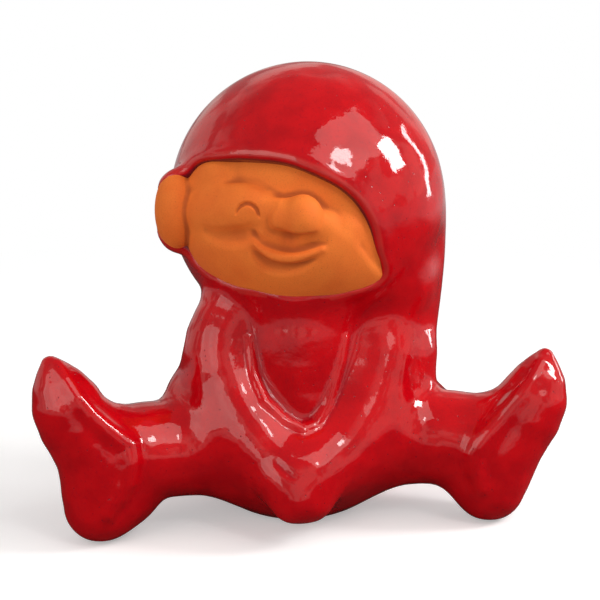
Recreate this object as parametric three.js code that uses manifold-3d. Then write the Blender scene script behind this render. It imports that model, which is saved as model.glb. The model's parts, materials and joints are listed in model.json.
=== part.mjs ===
// A seated ceramic gnome: a bare clay head in a glazed hood, on a glazed body with clasped mittens and boots.
// Its pieces are earthenware castings, luted together and closed by an unglazed seat plate with a vent.
// Millimetres, +Z up. The figure faces -Y, and the origin is the middle of the seat plate's resting face.
// Places are [across, back, up], as shares of the figure's width, its depth and its neck's height.
// Places on the head are shares of the hood's half sizes, from the head's centre. Sizes are real lengths.

import * as THREE from 'three';
import { mergeVertices } from 'three/addons/utils/BufferGeometryUtils.js';
import Module from 'manifold-3d';

const wasm = await Module();
wasm.setup();

// Overall sizes, walls and joints
const FIGURE_WIDTH = 138;
const FIGURE_DEPTH = 81;
const NECK_HEIGHT = 59;
const CLAY_WALL = 4.2;
const LUTING_GAP = 0.3;
const SKIN_SPREAD = 8;
const DRAWING_TOLERANCE = 0.01;
const BEND_FILLET_SHARE = 0.1;

// Hood and the head inside it
const HOOD_HALF_WIDTH = 36.4;
const HOOD_HALF_DEPTH = 35;
const HOOD_HALF_HEIGHT = 36.6;
const HOOD_THICKNESS = 3.1;
const HEM_DEPTH = 6;
const HEM_ROUND = 2.4;
const HEM_CORNER_FILLET = 6;
const HEM_OVERLAP = 1.5;
const NECK_SHARES = [0.036, -0.05, 1];
const HEAD_RISE_SHARE = 0.612;

// Where the hem lies about the face: a compass of even steps that starts at the figure's left jaw,
// each as a share of a half turn away from the opening's middle
const OPENING_ASPECT_SHARES = [-0.408, -0.913, 0.013];
const HEM_SHARES = [
  0.234, 0.259, 0.302, 0.247, 0.205, 0.186, 0.172, 0.168, 0.185, 0.211, 0.254, 0.272,
  0.335, 0.282, 0.249, 0.199, 0.169, 0.152, 0.146, 0.146, 0.15, 0.162, 0.184, 0.21,
];

// Ear, and the temple that rises to it under the hood's lip
const EAR_HALF = [5.6, 7, 10.4];
const EAR_LIP = 1.2;
const EAR_SHARES = [-0.973, -0.256, 0];
const TEMPLE_STEP = 1.2;
const TEMPLE_WIDTH = 5;
const TEMPLE_FILLET = 5;
const TEMPLE_SHARES = [-0.78, -0.4, 0];
const TEMPLE_TURN_SHARE = -0.022;

// Face: below the brow line it stands forward of the head. How high the line lies above the head's
// middle, as shares of a turn, in even steps round the head
const FACE_SHIFT = [0.6, -1.3, -1.2];
const FACE_LIFT = 0.7;
const BROW_ROUND = 1.6;
const BROW_FILLET = 0.8;
const BROW_START_SHARE = -0.24;
const BROW_STEP_SHARE = 0.01;
const BROW_RISE_SHARES = [
  -0.03, -0.015, -0.002, 0.007, 0.015, 0.0204, 0.0257, 0.031, 0.0354, 0.0396, 0.0414, 0.0431,
  0.044, 0.0439, 0.0431, 0.0398, 0.0344, 0.0288, 0.028, 0.0318, 0.0338, 0.0338, 0.0304, 0.0177,
  0.0039, -0.0064, -0.0134, -0.0218, -0.0319, -0.0449, -0.061, -0.075, -0.09, -0.1, -0.11,
];

// Clay masses of the face: half sizes across, out and up, how far the middle stands off the head,
// its aspect on the head, its tilt as a share of a turn, and how softly it joins
const NEAR_JAW = {
  half: [15, 11, 10], rise: -8,
  aspectShares: [-0.66, -0.72, -0.21], tiltShare: 0, fillet: 4,
};
const CHIN = {
  half: [17, 11.2, 8.5], rise: -8,
  aspectShares: [-0.23, -0.92, -0.32], tiltShare: 0, fillet: 4,
};
const MUZZLE = {
  half: [13, 9.8, 9], rise: -6.3,
  aspectShares: [-0.26, -0.96, -0.14], tiltShare: 0, fillet: 4,
};
const CHEEK = {
  half: [14, 6.8, 6.3], rise: -2.4,
  aspectShares: [-0.77, -0.64, 0.045], tiltShare: -0.015, fillet: 1.8,
};
const BROW = {
  half: [8.4, 5.9, 6.2], rise: -0.9,
  aspectShares: [-0.6, -0.79, 0.105], tiltShare: -0.045, fillet: 1.8,
};
const NOSE_BRIDGE = {
  half: [3, 3.6, 6.5], rise: -0.2,
  aspectShares: [-0.42, -0.91, 0.03], tiltShare: 0, fillet: 2,
};
const FAR_CHEEK = {
  half: [11.5, 6.4, 6.6], rise: -2.2,
  aspectShares: [0.01, -0.98, -0.19], tiltShare: -0.13, fillet: 1.8,
};
const NOSE_SIDE = {
  half: [4.6, 4, 4.3], rise: 1.4,
  aspectShares: [-0.32, -0.95, 0.065], tiltShare: 0, fillet: 1.6,
};
const NOSE_TIP = {
  half: [4.5, 5.2, 5.9], rise: 2.4,
  aspectShares: [-0.167, -0.98, 0.062], tiltShare: 0, fillet: 1.6,
};
const NOSTRIL = {
  half: [4.2, 3.4, 3.8], rise: 0.8,
  aspectShares: [-0.036, -1, 0], tiltShare: -0.1, fillet: 1.6,
};

// Hood's tail, hanging behind the shoulder into the hip
const TAIL_ROOT_RADIUS = 14;
const TAIL_UPPER_RADIUS = 10.4;
const TAIL_MIDDLE_RADIUS = 9.8;
const TAIL_LOWER_RADIUS = 9.6;
const TAIL_FOOT_RADIUS = 9.5;
const TAIL_TIP_RADIUS = 6;
const TAIL_FILLET = 6;
const TAIL_REACH = 3;
const TAIL_ROOT_SHARES = [0.603, 0.142, -0.057];
const TAIL_SHARES = [
  [0.227, -0.049, 1.125], [0.221, -0.099, 0.963],
  [0.208, -0.148, 0.794], [0.201, -0.198, 0.634], [0.195, -0.1, 0.3],
];

// Torso, lap, chest and seat
const SHOULDER_HALF_WIDTH = 22;
const WAIST_HALF_WIDTH = 24;
const LAP_HALF_WIDTH = 25;
const TORSO_SHARES = [[0.024, -0.073, 0.804], [0.022, -0.073, 0.568], [0.021, -0.073, 0.324]];
const HIP_HALF = [23.5, 25, 17];
const HIP_SHARES = [-0.002, -0.198, 0.268];
const SEAT_HALF = [23, 21, 14.5];
const SEAT_SHARES = [0, 0, 0.16];
const LAP_FILLET = 8;
const CHEST_COLLAR_RADIUS = 15.5;
const CHEST_MIDDLE_RADIUS = 15;
const CHEST_LOWER_RADIUS = 12.5;
const CHEST_TIP_RADIUS = 8;
const CHEST_FILLET = 2;
const CHEST_REACH = 3;
const CHEST_SHARES = [
  [0.005, -0.228, 0.927], [0.002, -0.242, 0.748], [0.001, -0.278, 0.605], [0.002, -0.333, 0.56],
];
const HOOD_FILLET = 5;
const HOOD_REACH = 3;

// Seat plate and its vent
const SEAT_PLATE_RADIUS = 12.5;
const SEAT_PLATE_THICKNESS = 4;
const VENT_RADIUS = 3;
const VENT_BACK = 7;

// Arms and clasped mittens
const SHOULDER_RADIUS = 9.5;
const UPPER_ARM_RADIUS = 9.8;
const ELBOW_RADIUS = 9.2;
const FOREARM_RADIUS = 8;
const WRIST_RADIUS = 6.8;
const ARM_FILLET = 9;
const ARM_REACH = 2;
const ARM_SHARES = {
  left: [
    [-0.117, -0.222, 0.927], [-0.145, -0.271, 0.76], [-0.123, -0.347, 0.56],
    [-0.08, -0.431, 0.408], [-0.038, -0.492, 0.316],
  ],
  right: [
    [0.159, -0.21, 0.88], [0.156, -0.271, 0.732], [0.121, -0.347, 0.532],
    [0.07, -0.42, 0.384], [0.015, -0.481, 0.312],
  ],
};
const PALM_RADIUS = 6.7;
const KNUCKLE_RADIUS = 7.1;
const HAND_FILLET = 2.5;
const HAND_REACH = 1.5;
const CLASP_FILLET = 1.2;
const MITTEN_SHARES = {
  left: [[-0.048, -0.507, 0.296], [-0.026, -0.53, 0.224]],
  right: [[0.01, -0.507, 0.308], [-0.003, -0.519, 0.22]],
};

// Legs and boots
const THIGH_RADIUS = 14.2;
const KNEE_RADIUS = 12.4;
const ANKLE_RADIUS = 12.2;
const LEG_FILLET = 8;
const LEG_REACH = 4;
const LEG_SHARES = {
  left: [[-0.103, -0.271, 0.368], [-0.219, -0.297, 0.356], [-0.327, -0.347, 0.368]],
  right: [[0.111, -0.271, 0.356], [0.234, -0.297, 0.356], [0.337, -0.347, 0.344]],
};
const HEEL_RADIUS = 9.5;
const INSTEP_RADIUS = 9;
const BALL_RADIUS = 8.8;
const TOE_RADIUS = 2.4;
const BOOT_FILLET = 7;
const BOOT_REACH = 2;
const BOOT_SHARES = {
  left: [
    [-0.38, -0.396, 0.156], [-0.393, -0.396, 0.38], [-0.434, -0.396, 0.604], [-0.463, -0.382, 0.792],
  ],
  right: [
    [0.359, -0.396, 0.156], [0.393, -0.396, 0.34], [0.438, -0.396, 0.544], [0.462, -0.382, 0.736],
  ],
};

// Clay pressed into the creases beside the left hip, under the tail and behind the left heel
const HIP_FILL_RADIUS = 6;
const TAIL_FILL_RADIUS = 4.6;
const HEEL_FILL_RADIUS = 7.4;
const HIP_FILL_SHARES = [-0.204, -0.221, 0.564];
const TAIL_FILL_SHARES = [0.268, -0.173, 0.47];
const HEEL_FILL_SHARES = [-0.33, -0.37, 0.19];
const CREASE_FILLET = 5;

// Counts: facets and drawing steps
const ROUTE_STEPS = 3;
const MARCH_STEPS = 60;
const HEAD_AROUND = 48;
const FACE_RINGS = 16;
const NAPE_RINGS = 4;
const HOOD_AROUND = 40;
const HOOD_RINGS = 9;
const LIMB_AROUND = 18;
const LIMB_ALONG = 8;
const CAP_RINGS = 4;
const HOLLOW_AROUND = 16;
const EAR_AROUND = 20;

// Small vector helpers on plain arrays
const FIGURE = [FIGURE_WIDTH, FIGURE_DEPTH, NECK_HEIGHT];
const HOOD_HALF = [HOOD_HALF_WIDTH, HOOD_HALF_DEPTH, HOOD_HALF_HEIGHT];
const product = (shares, lengths) => shares.map((share, i) => share * lengths[i]);
const place = (shares) => product(shares, FIGURE);
const scaled = (v, k) => [v[0] * k, v[1] * k, v[2] * k];
const sum = (a, b) => [a[0] + b[0], a[1] + b[1], a[2] + b[2]];
const minus = (a, b) => [a[0] - b[0], a[1] - b[1], a[2] - b[2]];
const dot = (a, b) => a[0] * b[0] + a[1] * b[1] + a[2] * b[2];
const size = (v) => Math.sqrt(dot(v, v));
const unit = (v) => scaled(v, 1 / size(v));
const cross = (a, b) => [a[1] * b[2] - a[2] * b[1], a[2] * b[0] - a[0] * b[2], a[0] * b[1] - a[1] * b[0]];
const grown = (half, by) => half.map((length) => length + by);

// Clay forms: each is a function of a point that is negative inside the clay
const ball = (centre, radius) => (p) => size(minus(p, centre)) - radius;

function oval(centre, half, axes) {
  return (p) => {
    const from = minus(p, centre);
    const q = axes ? axes.map((axis) => dot(axis, from)) : from;
    const k = Math.hypot(q[0] / half[0], q[1] / half[1], q[2] / half[2]);
    const slope = Math.hypot(q[0] / half[0] ** 2, q[1] / half[1] ** 2, q[2] / half[2] ** 2);
    return slope > 0 ? (k * (k - 1)) / slope : -Math.min(...half);
  };
}

// A round bar that tapers from one ball to the next
function cone(a, b, radiusA, radiusB) {
  const along = minus(b, a);
  const length2 = dot(along, along);
  const taper = radiusA - radiusB;
  const slant2 = length2 - taper * taper;
  return (p) => {
    const from = minus(p, a);
    const y = dot(from, along);
    const z = y - length2;
    const side = minus(scaled(from, length2), scaled(along, y));
    const x2 = dot(side, side);
    const k = Math.sign(taper) * taper * taper * x2;
    if (Math.sign(z) * slant2 * z * z * length2 > k) {
      return Math.sqrt(x2 + z * z * length2) / length2 - radiusB;
    }
    if (Math.sign(y) * slant2 * y * y * length2 < k) {
      return Math.sqrt(x2 + y * y * length2) / length2 - radiusA;
    }
    return (Math.sqrt((x2 * slant2) / length2) + y * taper) / length2 - radiusA;
  };
}

function blend(fillet, ...depths) {
  return depths.reduce((a, b) => {
    const near = Math.max(fillet - Math.abs(a - b), 0) / fillet;
    return Math.min(a, b) - (near * near * fillet) / 4;
  });
}

const carve = (round, clay, cut) => -blend(round, -clay, cut);
const meet = (round, ...depths) => -blend(round, ...depths.map((depth) => -depth));

// A smooth value between b and c, with its neighbours a and d
function smooth(a, b, c, d, t) {
  const bend = 2 * a - 5 * b + 4 * c - d;
  return (2 * b + (c - a) * t + bend * t * t + (3 * b - a - 3 * c + d) * t ** 3) / 2;
}

// A smooth way through the places, with a radius at each step
function route(places, radii) {
  const knots = places.map((at, i) => [...at, radii[i]]);
  const last = knots.length - 1;
  const before = knots[0].map((value, j) => 2 * value - knots[1][j]);
  const after = knots[last].map((value, j) => 2 * value - knots[last - 1][j]);
  const all = [before, ...knots, after];
  const steps = [];
  for (let i = 1; i <= last; i++) {
    for (let s = 0; s < ROUTE_STEPS; s++) {
      const t = s / ROUTE_STEPS;
      const [a, b, c, d] = all.slice(i - 1, i + 3);
      const value = (j) => smooth(a[j], b[j], c[j], d[j], t);
      steps.push({ at: [value(0), value(1), value(2)], radius: value(3) });
    }
  }
  steps.push({ at: knots[last].slice(0, 3), radius: knots[last][3] });
  return steps;
}

function limb(steps) {
  const bars = steps.slice(1).map((step, i) => cone(steps[i].at, step.at, steps[i].radius, step.radius));
  const join = steps[0].radius * BEND_FILLET_SHARE;
  return (p) => blend(join, ...bars.map((bar) => bar(p)));
}

// Head: an oval of clay with the face's masses pressed onto it
const HEAD_CENTRE = sum(place(NECK_SHARES), [0, 0, HEAD_RISE_SHARE * HOOD_HALF_HEIGHT]);
const placeOnHead = (shares) => sum(HEAD_CENTRE, product(shares, HOOD_HALF));
const HEAD_HALF = grown(HOOD_HALF, -HOOD_THICKNESS);
const headOval = oval(HEAD_CENTRE, HEAD_HALF);

function onHead(mass) {
  const spot = product(mass.aspectShares, HEAD_HALF);
  const reach = 1 / size(unit(spot).map((value, i) => value / HEAD_HALF[i]));
  const skin = scaled(unit(spot), reach);
  const out = unit(skin.map((value, i) => value / HEAD_HALF[i] ** 2));
  const level = unit(cross([0, 0, 1], out));
  const upright = cross(level, out).map((value) => -value);
  const tilt = mass.tiltShare * 2 * Math.PI;
  const across = sum(scaled(level, -Math.cos(tilt)), scaled(upright, -Math.sin(tilt)));
  const up = sum(scaled(upright, -Math.cos(tilt)), scaled(level, Math.sin(tilt)));
  return oval(sum(sum(HEAD_CENTRE, skin), scaled(out, mass.rise)), mass.half, [across, out, up]);
}

const faceMasses = [
  NEAR_JAW, CHIN, MUZZLE, CHEEK, BROW, NOSE_BRIDGE, FAR_CHEEK, NOSE_SIDE, NOSE_TIP, NOSTRIL,
].map((mass) => ({ form: onHead(mass), fillet: mass.fillet }));

const hoodOval = oval(HEAD_CENTRE, HOOD_HALF);
const earLip = oval(placeOnHead(EAR_SHARES), grown(EAR_HALF, EAR_LIP));
const cloth = (p) => blend(HEM_CORNER_FILLET, hoodOval(p), earLip(p));
const faceOval = oval(sum(HEAD_CENTRE, FACE_SHIFT), grown(HEAD_HALF, FACE_LIFT));
const templeTurn = TEMPLE_TURN_SHARE * 2 * Math.PI;
const templeAxis = [Math.cos(templeTurn), Math.sin(templeTurn), 0];

function aboveBrow(p) {
  const from = minus(p, HEAD_CENTRE);
  const around = Math.atan2(from[0], -from[1]) / (2 * Math.PI);
  const rise = Math.asin(from[2] / Math.max(size(from), DRAWING_TOLERANCE)) / (2 * Math.PI);
  const last = BROW_RISE_SHARES.length - 3;
  const step = Math.min(Math.max((around - BROW_START_SHARE) / BROW_STEP_SHARE, 1), last);
  const i = Math.min(Math.floor(step), last - 1);
  const [a, b, c, d] = [-1, 0, 1, 2].map((j) => BROW_RISE_SHARES[i + j]);
  return (rise - smooth(a, b, c, d, step - i)) * 2 * Math.PI * HEAD_HALF[2];
}

function head(p) {
  const underHem = openingDepth(p) - HEM_OVERLAP;
  const beside = dot(minus(p, placeOnHead(TEMPLE_SHARES)), templeAxis) - TEMPLE_WIDTH;
  const temple = meet(TEMPLE_FILLET, cloth(p) + TEMPLE_STEP, beside, underHem);
  const mask = meet(BROW_ROUND, faceOval(p), aboveBrow(p), underHem);
  const skull = blend(BROW_FILLET, blend(TEMPLE_FILLET, headOval(p), temple), mask);
  return faceMasses.reduce((depth, mass) => blend(mass.fillet, depth, mass.form(p)), skull);
}

// Hood: a shell round the head, open at the face inside the hem
const OPENING_AXIS = unit(OPENING_ASPECT_SHARES);
const OPENING_SIDE = unit(cross(OPENING_AXIS, [0, 0, 1]));
const OPENING_RISE = cross(OPENING_SIDE, OPENING_AXIS);

function hemAngle(around) {
  const count = HEM_SHARES.length;
  const turn = (around / (2 * Math.PI) + 1.5) * count;
  const i = Math.floor(turn);
  const t = turn - i;
  const [a, b, c, d] = [-1, 0, 1, 2].map((j) => HEM_SHARES[(i + j + count) % count]);
  return smooth(a, b, c, d, t) * Math.PI;
}

function openingDepth(p) {
  const aim = unit(minus(p, HEAD_CENTRE));
  const around = Math.atan2(dot(aim, OPENING_RISE), dot(aim, OPENING_SIDE));
  const away = Math.acos(Math.min(Math.max(dot(aim, OPENING_AXIS), -1), 1));
  return (away - hemAngle(around)) * HOOD_HALF_DEPTH;
}

const hood = (p) => carve(HEM_ROUND, cloth(p), Math.max(openingDepth(p), -headOval(p) - HEM_DEPTH));

// Routes of the limbs
const tailRoute = route([placeOnHead(TAIL_ROOT_SHARES), ...TAIL_SHARES.map(place)], [
  TAIL_ROOT_RADIUS, TAIL_UPPER_RADIUS, TAIL_MIDDLE_RADIUS,
  TAIL_LOWER_RADIUS, TAIL_FOOT_RADIUS, TAIL_TIP_RADIUS,
]);
const torsoRoute = route(TORSO_SHARES.map(place), [SHOULDER_HALF_WIDTH, WAIST_HALF_WIDTH, LAP_HALF_WIDTH]);
const chestRoute = route(CHEST_SHARES.map(place), [
  CHEST_COLLAR_RADIUS, CHEST_MIDDLE_RADIUS, CHEST_LOWER_RADIUS, CHEST_TIP_RADIUS,
]);
const armRadii = [SHOULDER_RADIUS, UPPER_ARM_RADIUS, ELBOW_RADIUS, FOREARM_RADIUS, WRIST_RADIUS];
const mittenRadii = [PALM_RADIUS, KNUCKLE_RADIUS];
const legRadii = [THIGH_RADIUS, KNEE_RADIUS, ANKLE_RADIUS];
const bootRadii = [HEEL_RADIUS, INSTEP_RADIUS, BALL_RADIUS, TOE_RADIUS];
const SIDES = ['left', 'right'];
const bySide = (make) => Object.fromEntries(SIDES.map((side) => [side, make(side)]));
const armRoutes = bySide((side) => route(ARM_SHARES[side].map(place), armRadii));
const mittenRoutes = bySide((side) => route(MITTEN_SHARES[side].map(place), mittenRadii));
const legRoutes = bySide((side) => route(LEG_SHARES[side].map(place), legRadii));
const bootRoutes = bySide((side) => route(BOOT_SHARES[side].map(place), bootRadii));

// The whole glazed figure as one smooth skin, which every glazed casting is drawn out to
const tail = limb(tailRoute);
const torso = limb(torsoRoute);
const hips = oval(place(HIP_SHARES), HIP_HALF);
const seat = oval(place(SEAT_SHARES), SEAT_HALF);
const chest = limb(chestRoute);
const arms = SIDES.map((side) => limb(armRoutes[side]));
const mittens = SIDES.map((side) => limb(mittenRoutes[side]));
const clasp = (p) => blend(CLASP_FILLET, ...mittens.map((form) => form(p)));
const legs = SIDES.map((side) => limb(legRoutes[side]));
const boots = SIDES.map((side) => limb(bootRoutes[side]));
const fills = [
  ball(place(HIP_FILL_SHARES), HIP_FILL_RADIUS),
  ball(place(TAIL_FILL_SHARES), TAIL_FILL_RADIUS),
  ball(place(HEEL_FILL_SHARES), HEEL_FILL_RADIUS),
];

function glazedSkin(p) {
  const depth = (form) => form(p);
  const trunk = blend(LAP_FILLET, torso(p), hips(p), seat(p));
  const withLegs = blend(LEG_FILLET, trunk, ...legs.map(depth));
  const withBoots = blend(BOOT_FILLET, withLegs, ...boots.map(depth));
  const filled = blend(CREASE_FILLET, withBoots, ...fills.map(depth));
  const withArms = blend(ARM_FILLET, filled, ...arms.map(depth));
  const withChest = blend(CHEST_FILLET, withArms, chest(p));
  const body = blend(HAND_FILLET, withChest, clasp(p));
  const cap = blend(TAIL_FILLET, hood(p), tail(p));
  return blend(HOOD_FILLET, cap, body);
}

// Draws a geometry's points along their rays until they meet a form at the wanted depth
function drawOut(geometry, rayOf, form, depth) {
  geometry.deleteAttribute('normal');
  geometry.deleteAttribute('uv');
  const merged = mergeVertices(geometry);
  const points = merged.attributes.position;
  for (let i = 0; i < points.count; i++) {
    const ray = rayOf([points.getX(i), points.getY(i), points.getZ(i)]);
    let travel = ray.start;
    for (let step = 0; step < MARCH_STEPS && travel < ray.limit; step++) {
      const short = depth - form(sum(ray.from, scaled(ray.aim, travel)));
      if (short < DRAWING_TOLERANCE) break;
      travel += short;
    }
    const end = sum(ray.from, scaled(ray.aim, Math.min(travel, ray.limit)));
    points.setXYZ(i, ...end);
  }
  return merged;
}

function toSolid(geometry) {
  const vertProperties = Float32Array.from(geometry.attributes.position.array);
  const triVerts = Uint32Array.from(geometry.index.array);
  return new wasm.Manifold(new wasm.Mesh({ numProp: 3, vertProperties, triVerts }));
}

// A casting round a bent spine: a unit capsule whose rows follow the route
function limbSolid(steps, form, depth, over) {
  const capsule = new THREE.CapsuleGeometry(1, 1, CAP_RINGS, LIMB_AROUND, LIMB_ALONG);
  const spine = new THREE.CatmullRomCurve3(steps.map((step) => new THREE.Vector3(...step.at)));
  const rayOf = (q) => {
    const row = Math.min(Math.max(q[1], -0.5), 0.5);
    const t = row + 0.5;
    const knot = t * (steps.length - 1);
    const i = Math.min(Math.floor(knot), steps.length - 2);
    const radius = THREE.MathUtils.lerp(steps[i].radius, steps[i + 1].radius, knot - i);
    const along = spine.getTangent(t).toArray();
    const across = unit(cross([0, 1, 0], along));
    const out = cross(across, along);
    const aim = sum(sum(scaled(across, q[0]), scaled(along, q[1] - row)), scaled(out, q[2]));
    return { from: spine.getPoint(t).toArray(), aim: unit(aim), start: 0, limit: radius + over };
  };
  return toSolid(drawOut(capsule, rayOf, form, depth));
}

// A casting round the head: a unit sphere whose rings spread from the opening's middle past the hem
function headSolid(form, half, depth, over, around, ringAngles) {
  const rings = ringAngles(0).length - 1;
  const sphere = new THREE.SphereGeometry(1, around, rings);
  const rayOf = (q) => {
    const ring = Math.round((Math.acos(Math.min(Math.max(q[1], -1), 1)) / Math.PI) * rings);
    const turn = Math.atan2(q[2], q[0]);
    const away = ringAngles(turn)[ring];
    const flat = sum(scaled(OPENING_SIDE, Math.cos(turn)), scaled(OPENING_RISE, Math.sin(turn)));
    const aim = sum(scaled(OPENING_AXIS, Math.cos(away)), scaled(flat, Math.sin(away)));
    const skin = 1 / size(aim.map((value, i) => value / half[i]));
    return { from: HEAD_CENTRE, aim: unit(aim), start: skin / 2, limit: skin + over };
  };
  return toSolid(drawOut(sphere, rayOf, form, depth));
}

const evenly = (count) => Array.from({ length: count }, (_, i) => (i + 1) / count);

// Rings over the face inside the hem, one just past it, then over the nape under the hood
const NAPE_START_SHARE = 1.12;
function faceRings(turn) {
  const hem = hemAngle(turn);
  const inside = evenly(FACE_RINGS).map((share) => share * hem);
  const past = hem * NAPE_START_SHARE;
  const outside = evenly(NAPE_RINGS).map((share) => past + share * (Math.PI - past));
  return [0, ...inside, past, ...outside];
}

// Rings close together at the hem, then evenly over the hood
const HEM_RING_SHARES = [0.5, 0.9, 0.96, 1, 1.04, 1.1];
function hoodRings(turn) {
  const hem = hemAngle(turn);
  const close = HEM_RING_SHARES.map((share) => share * hem);
  const start = close[close.length - 1];
  const rest = evenly(HOOD_RINGS).map((share) => start + share * (Math.PI - start));
  return [0, ...close, ...rest];
}

// A ball stretched to an ellipsoid
function ovalSolid(centre, half, around) {
  const sphere = new THREE.SphereGeometry(1, around, around / 2);
  sphere.deleteAttribute('normal');
  sphere.deleteAttribute('uv');
  sphere.scale(...half);
  sphere.translate(...centre);
  return toSolid(mergeVertices(sphere));
}

// Each casting has a blank, drawn out to the glazed skin, and a bound, which is where its clay ends
// inside its neighbours. The bound can be grown by a gap.
function limbCasting(steps, reach, form = limb(steps)) {
  return {
    blank: () => limbSolid(steps, glazedSkin, 0, reach + SKIN_SPREAD),
    bound: (gap) => limbSolid(steps, form, reach + gap, reach + SKIN_SPREAD),
  };
}

const headClay = (gap) => headSolid(head, HEAD_HALF, gap, SKIN_SPREAD, HEAD_AROUND, faceRings)
  .add(ovalSolid(placeOnHead(EAR_SHARES), grown(EAR_HALF, gap), EAR_AROUND));

// The mittens are one lump, drawn from a bar through the middles of both
const middle = (steps) => ({
  at: scaled(sum(steps[0].at, steps[ROUTE_STEPS].at), 1 / 2),
  radius: KNUCKLE_RADIUS,
});
const mittenSpine = SIDES.map((side) => middle(mittenRoutes[side]));

// The torso is drawn from its own spine, and its bib from a straight one in the chest
const trunkCasting = limbCasting(torsoRoute, SKIN_SPREAD);
const bibSpine = [chestRoute[0], chestRoute[2 * ROUTE_STEPS]];

// Each casting is cut by the bound of every one above it, as it is luted on under them
const castings = {
  head: { blank: () => headClay(0), bound: headClay },
  hood: {
    blank: () => headSolid(glazedSkin, HOOD_HALF, 0, HOOD_REACH + SKIN_SPREAD, HOOD_AROUND, hoodRings),
    bound: (gap) => ovalSolid(HEAD_CENTRE, grown(HOOD_HALF, HOOD_REACH + gap), HOOD_AROUND),
  },
  mittens: limbCasting(mittenSpine, HAND_REACH, clasp),
  arm_left: limbCasting(armRoutes.left, ARM_REACH),
  arm_right: limbCasting(armRoutes.right, ARM_REACH),
  boot_left: limbCasting(bootRoutes.left, BOOT_REACH),
  boot_right: limbCasting(bootRoutes.right, BOOT_REACH),
  leg_left: limbCasting(legRoutes.left, LEG_REACH),
  leg_right: limbCasting(legRoutes.right, LEG_REACH),
  hood_tail: limbCasting(tailRoute, TAIL_REACH),
  torso: {
    blank: () => trunkCasting.blank().add(limbSolid(bibSpine, glazedSkin, 0, CHEST_REACH)),
    bound: trunkCasting.bound,
  },
};

// Hollows: the head's, the trunk's and the legs', which all open into one another
function hollowOf(steps) {
  return limbSolid(steps, glazedSkin, -CLAY_WALL, -CLAY_WALL);
}

const headHollow = toSolid(drawOut(
  new THREE.SphereGeometry(1, HOLLOW_AROUND, HOLLOW_AROUND / 2),
  (q) => {
    const aim = unit(q);
    return { from: HEAD_CENTRE, aim, start: 0, limit: 1 / size(aim.map((value, i) => value / HEAD_HALF[i])) };
  },
  headOval,
  -CLAY_WALL,
));
const trunkRoute = [{ at: place(NECK_SHARES), radius: SHOULDER_HALF_WIDTH }, ...torsoRoute];
const hollows = [trunkRoute, legRoutes.left, legRoutes.right].map(hollowOf)
  .reduce((a, b) => a.add(b), headHollow);

function upright(radius, low, high, back = 0) {
  const bar = new THREE.CylinderGeometry(radius, radius, high - low, 2 * HOLLOW_AROUND);
  bar.rotateX(Math.PI / 2);
  bar.translate(0, back, (low + high) / 2);
  bar.deleteAttribute('normal');
  bar.deleteAttribute('uv');
  return toSolid(mergeVertices(bar));
}

const seatOpening = upright(SEAT_PLATE_RADIUS, -SEAT_PLATE_THICKNESS, 2 * SEAT_PLATE_THICKNESS);
const vent = upright(VENT_RADIUS, -SEAT_PLATE_THICKNESS, 2 * SEAT_PLATE_THICKNESS, VENT_BACK);

function below(level) {
  const block = new THREE.BoxGeometry(2 * FIGURE_WIDTH, 2 * FIGURE_WIDTH, FIGURE_WIDTH);
  block.translate(0, 0, level - FIGURE_WIDTH / 2);
  block.deleteAttribute('normal');
  block.deleteAttribute('uv');
  return toSolid(mergeVertices(block));
}

// The hollow stops a wall's thickness short of the floor and of both arms
const hollow = [castings.arm_left, castings.arm_right].reduce(
  (space, arm) => space.subtract(arm.bound(CLAY_WALL)),
  hollows.subtract(below(CLAY_WALL)),
);
const floorBlock = below(0);
const names = Object.keys(castings);
const bounds = names.map((name) => castings[name].bound(LUTING_GAP));

function casting(name) {
  const above = bounds.slice(0, names.indexOf(name));
  const clay = castings[name].blank().intersect(castings[name].bound(0));
  return above.reduce((solid, bound) => solid.subtract(bound), clay).subtract(hollow).subtract(floorBlock);
}

// Finished meshes
const GLAZE = { color: 0xb4101a, roughness: 0.12, metalness: 0 };
const BARE_CLAY = { color: 0xd9793f, roughness: 0.85, metalness: 0 };
const RAW_BASE = { color: 0xc98f63, roughness: 0.9, metalness: 0 };

function geometryOf(solid) {
  const { vertProperties, triVerts } = solid.getMesh();
  const geometry = new THREE.BufferGeometry();
  geometry.setAttribute('position', new THREE.BufferAttribute(Float32Array.from(vertProperties), 3));
  geometry.setIndex(new THREE.BufferAttribute(Uint32Array.from(triVerts), 1));
  return geometry;
}

// The largest piece of a cut casting: crumbs that the cuts leave are dropped
const largest = (solid) => solid.decompose().reduce((a, b) => (a.volume() > b.volume() ? a : b));

function meshOf(name, solid, look) {
  const whole = largest(toSolid(mergeVertices(geometryOf(largest(solid)))));
  const mesh = new THREE.Mesh(geometryOf(whole), new THREE.MeshStandardMaterial(look));
  mesh.name = name;
  return mesh;
}

const gnome = new THREE.Group();
gnome.name = 'ceramic_gnome';
for (const name of names) {
  const solid = name === 'torso' ? casting(name).subtract(seatOpening) : casting(name);
  gnome.add(meshOf(name, solid, name === 'head' ? BARE_CLAY : GLAZE));
}
const plate = upright(SEAT_PLATE_RADIUS - LUTING_GAP, 0, SEAT_PLATE_THICKNESS).subtract(vent);
gnome.add(meshOf('seat_plate', plate, RAW_BASE));

export default gnome;
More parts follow.
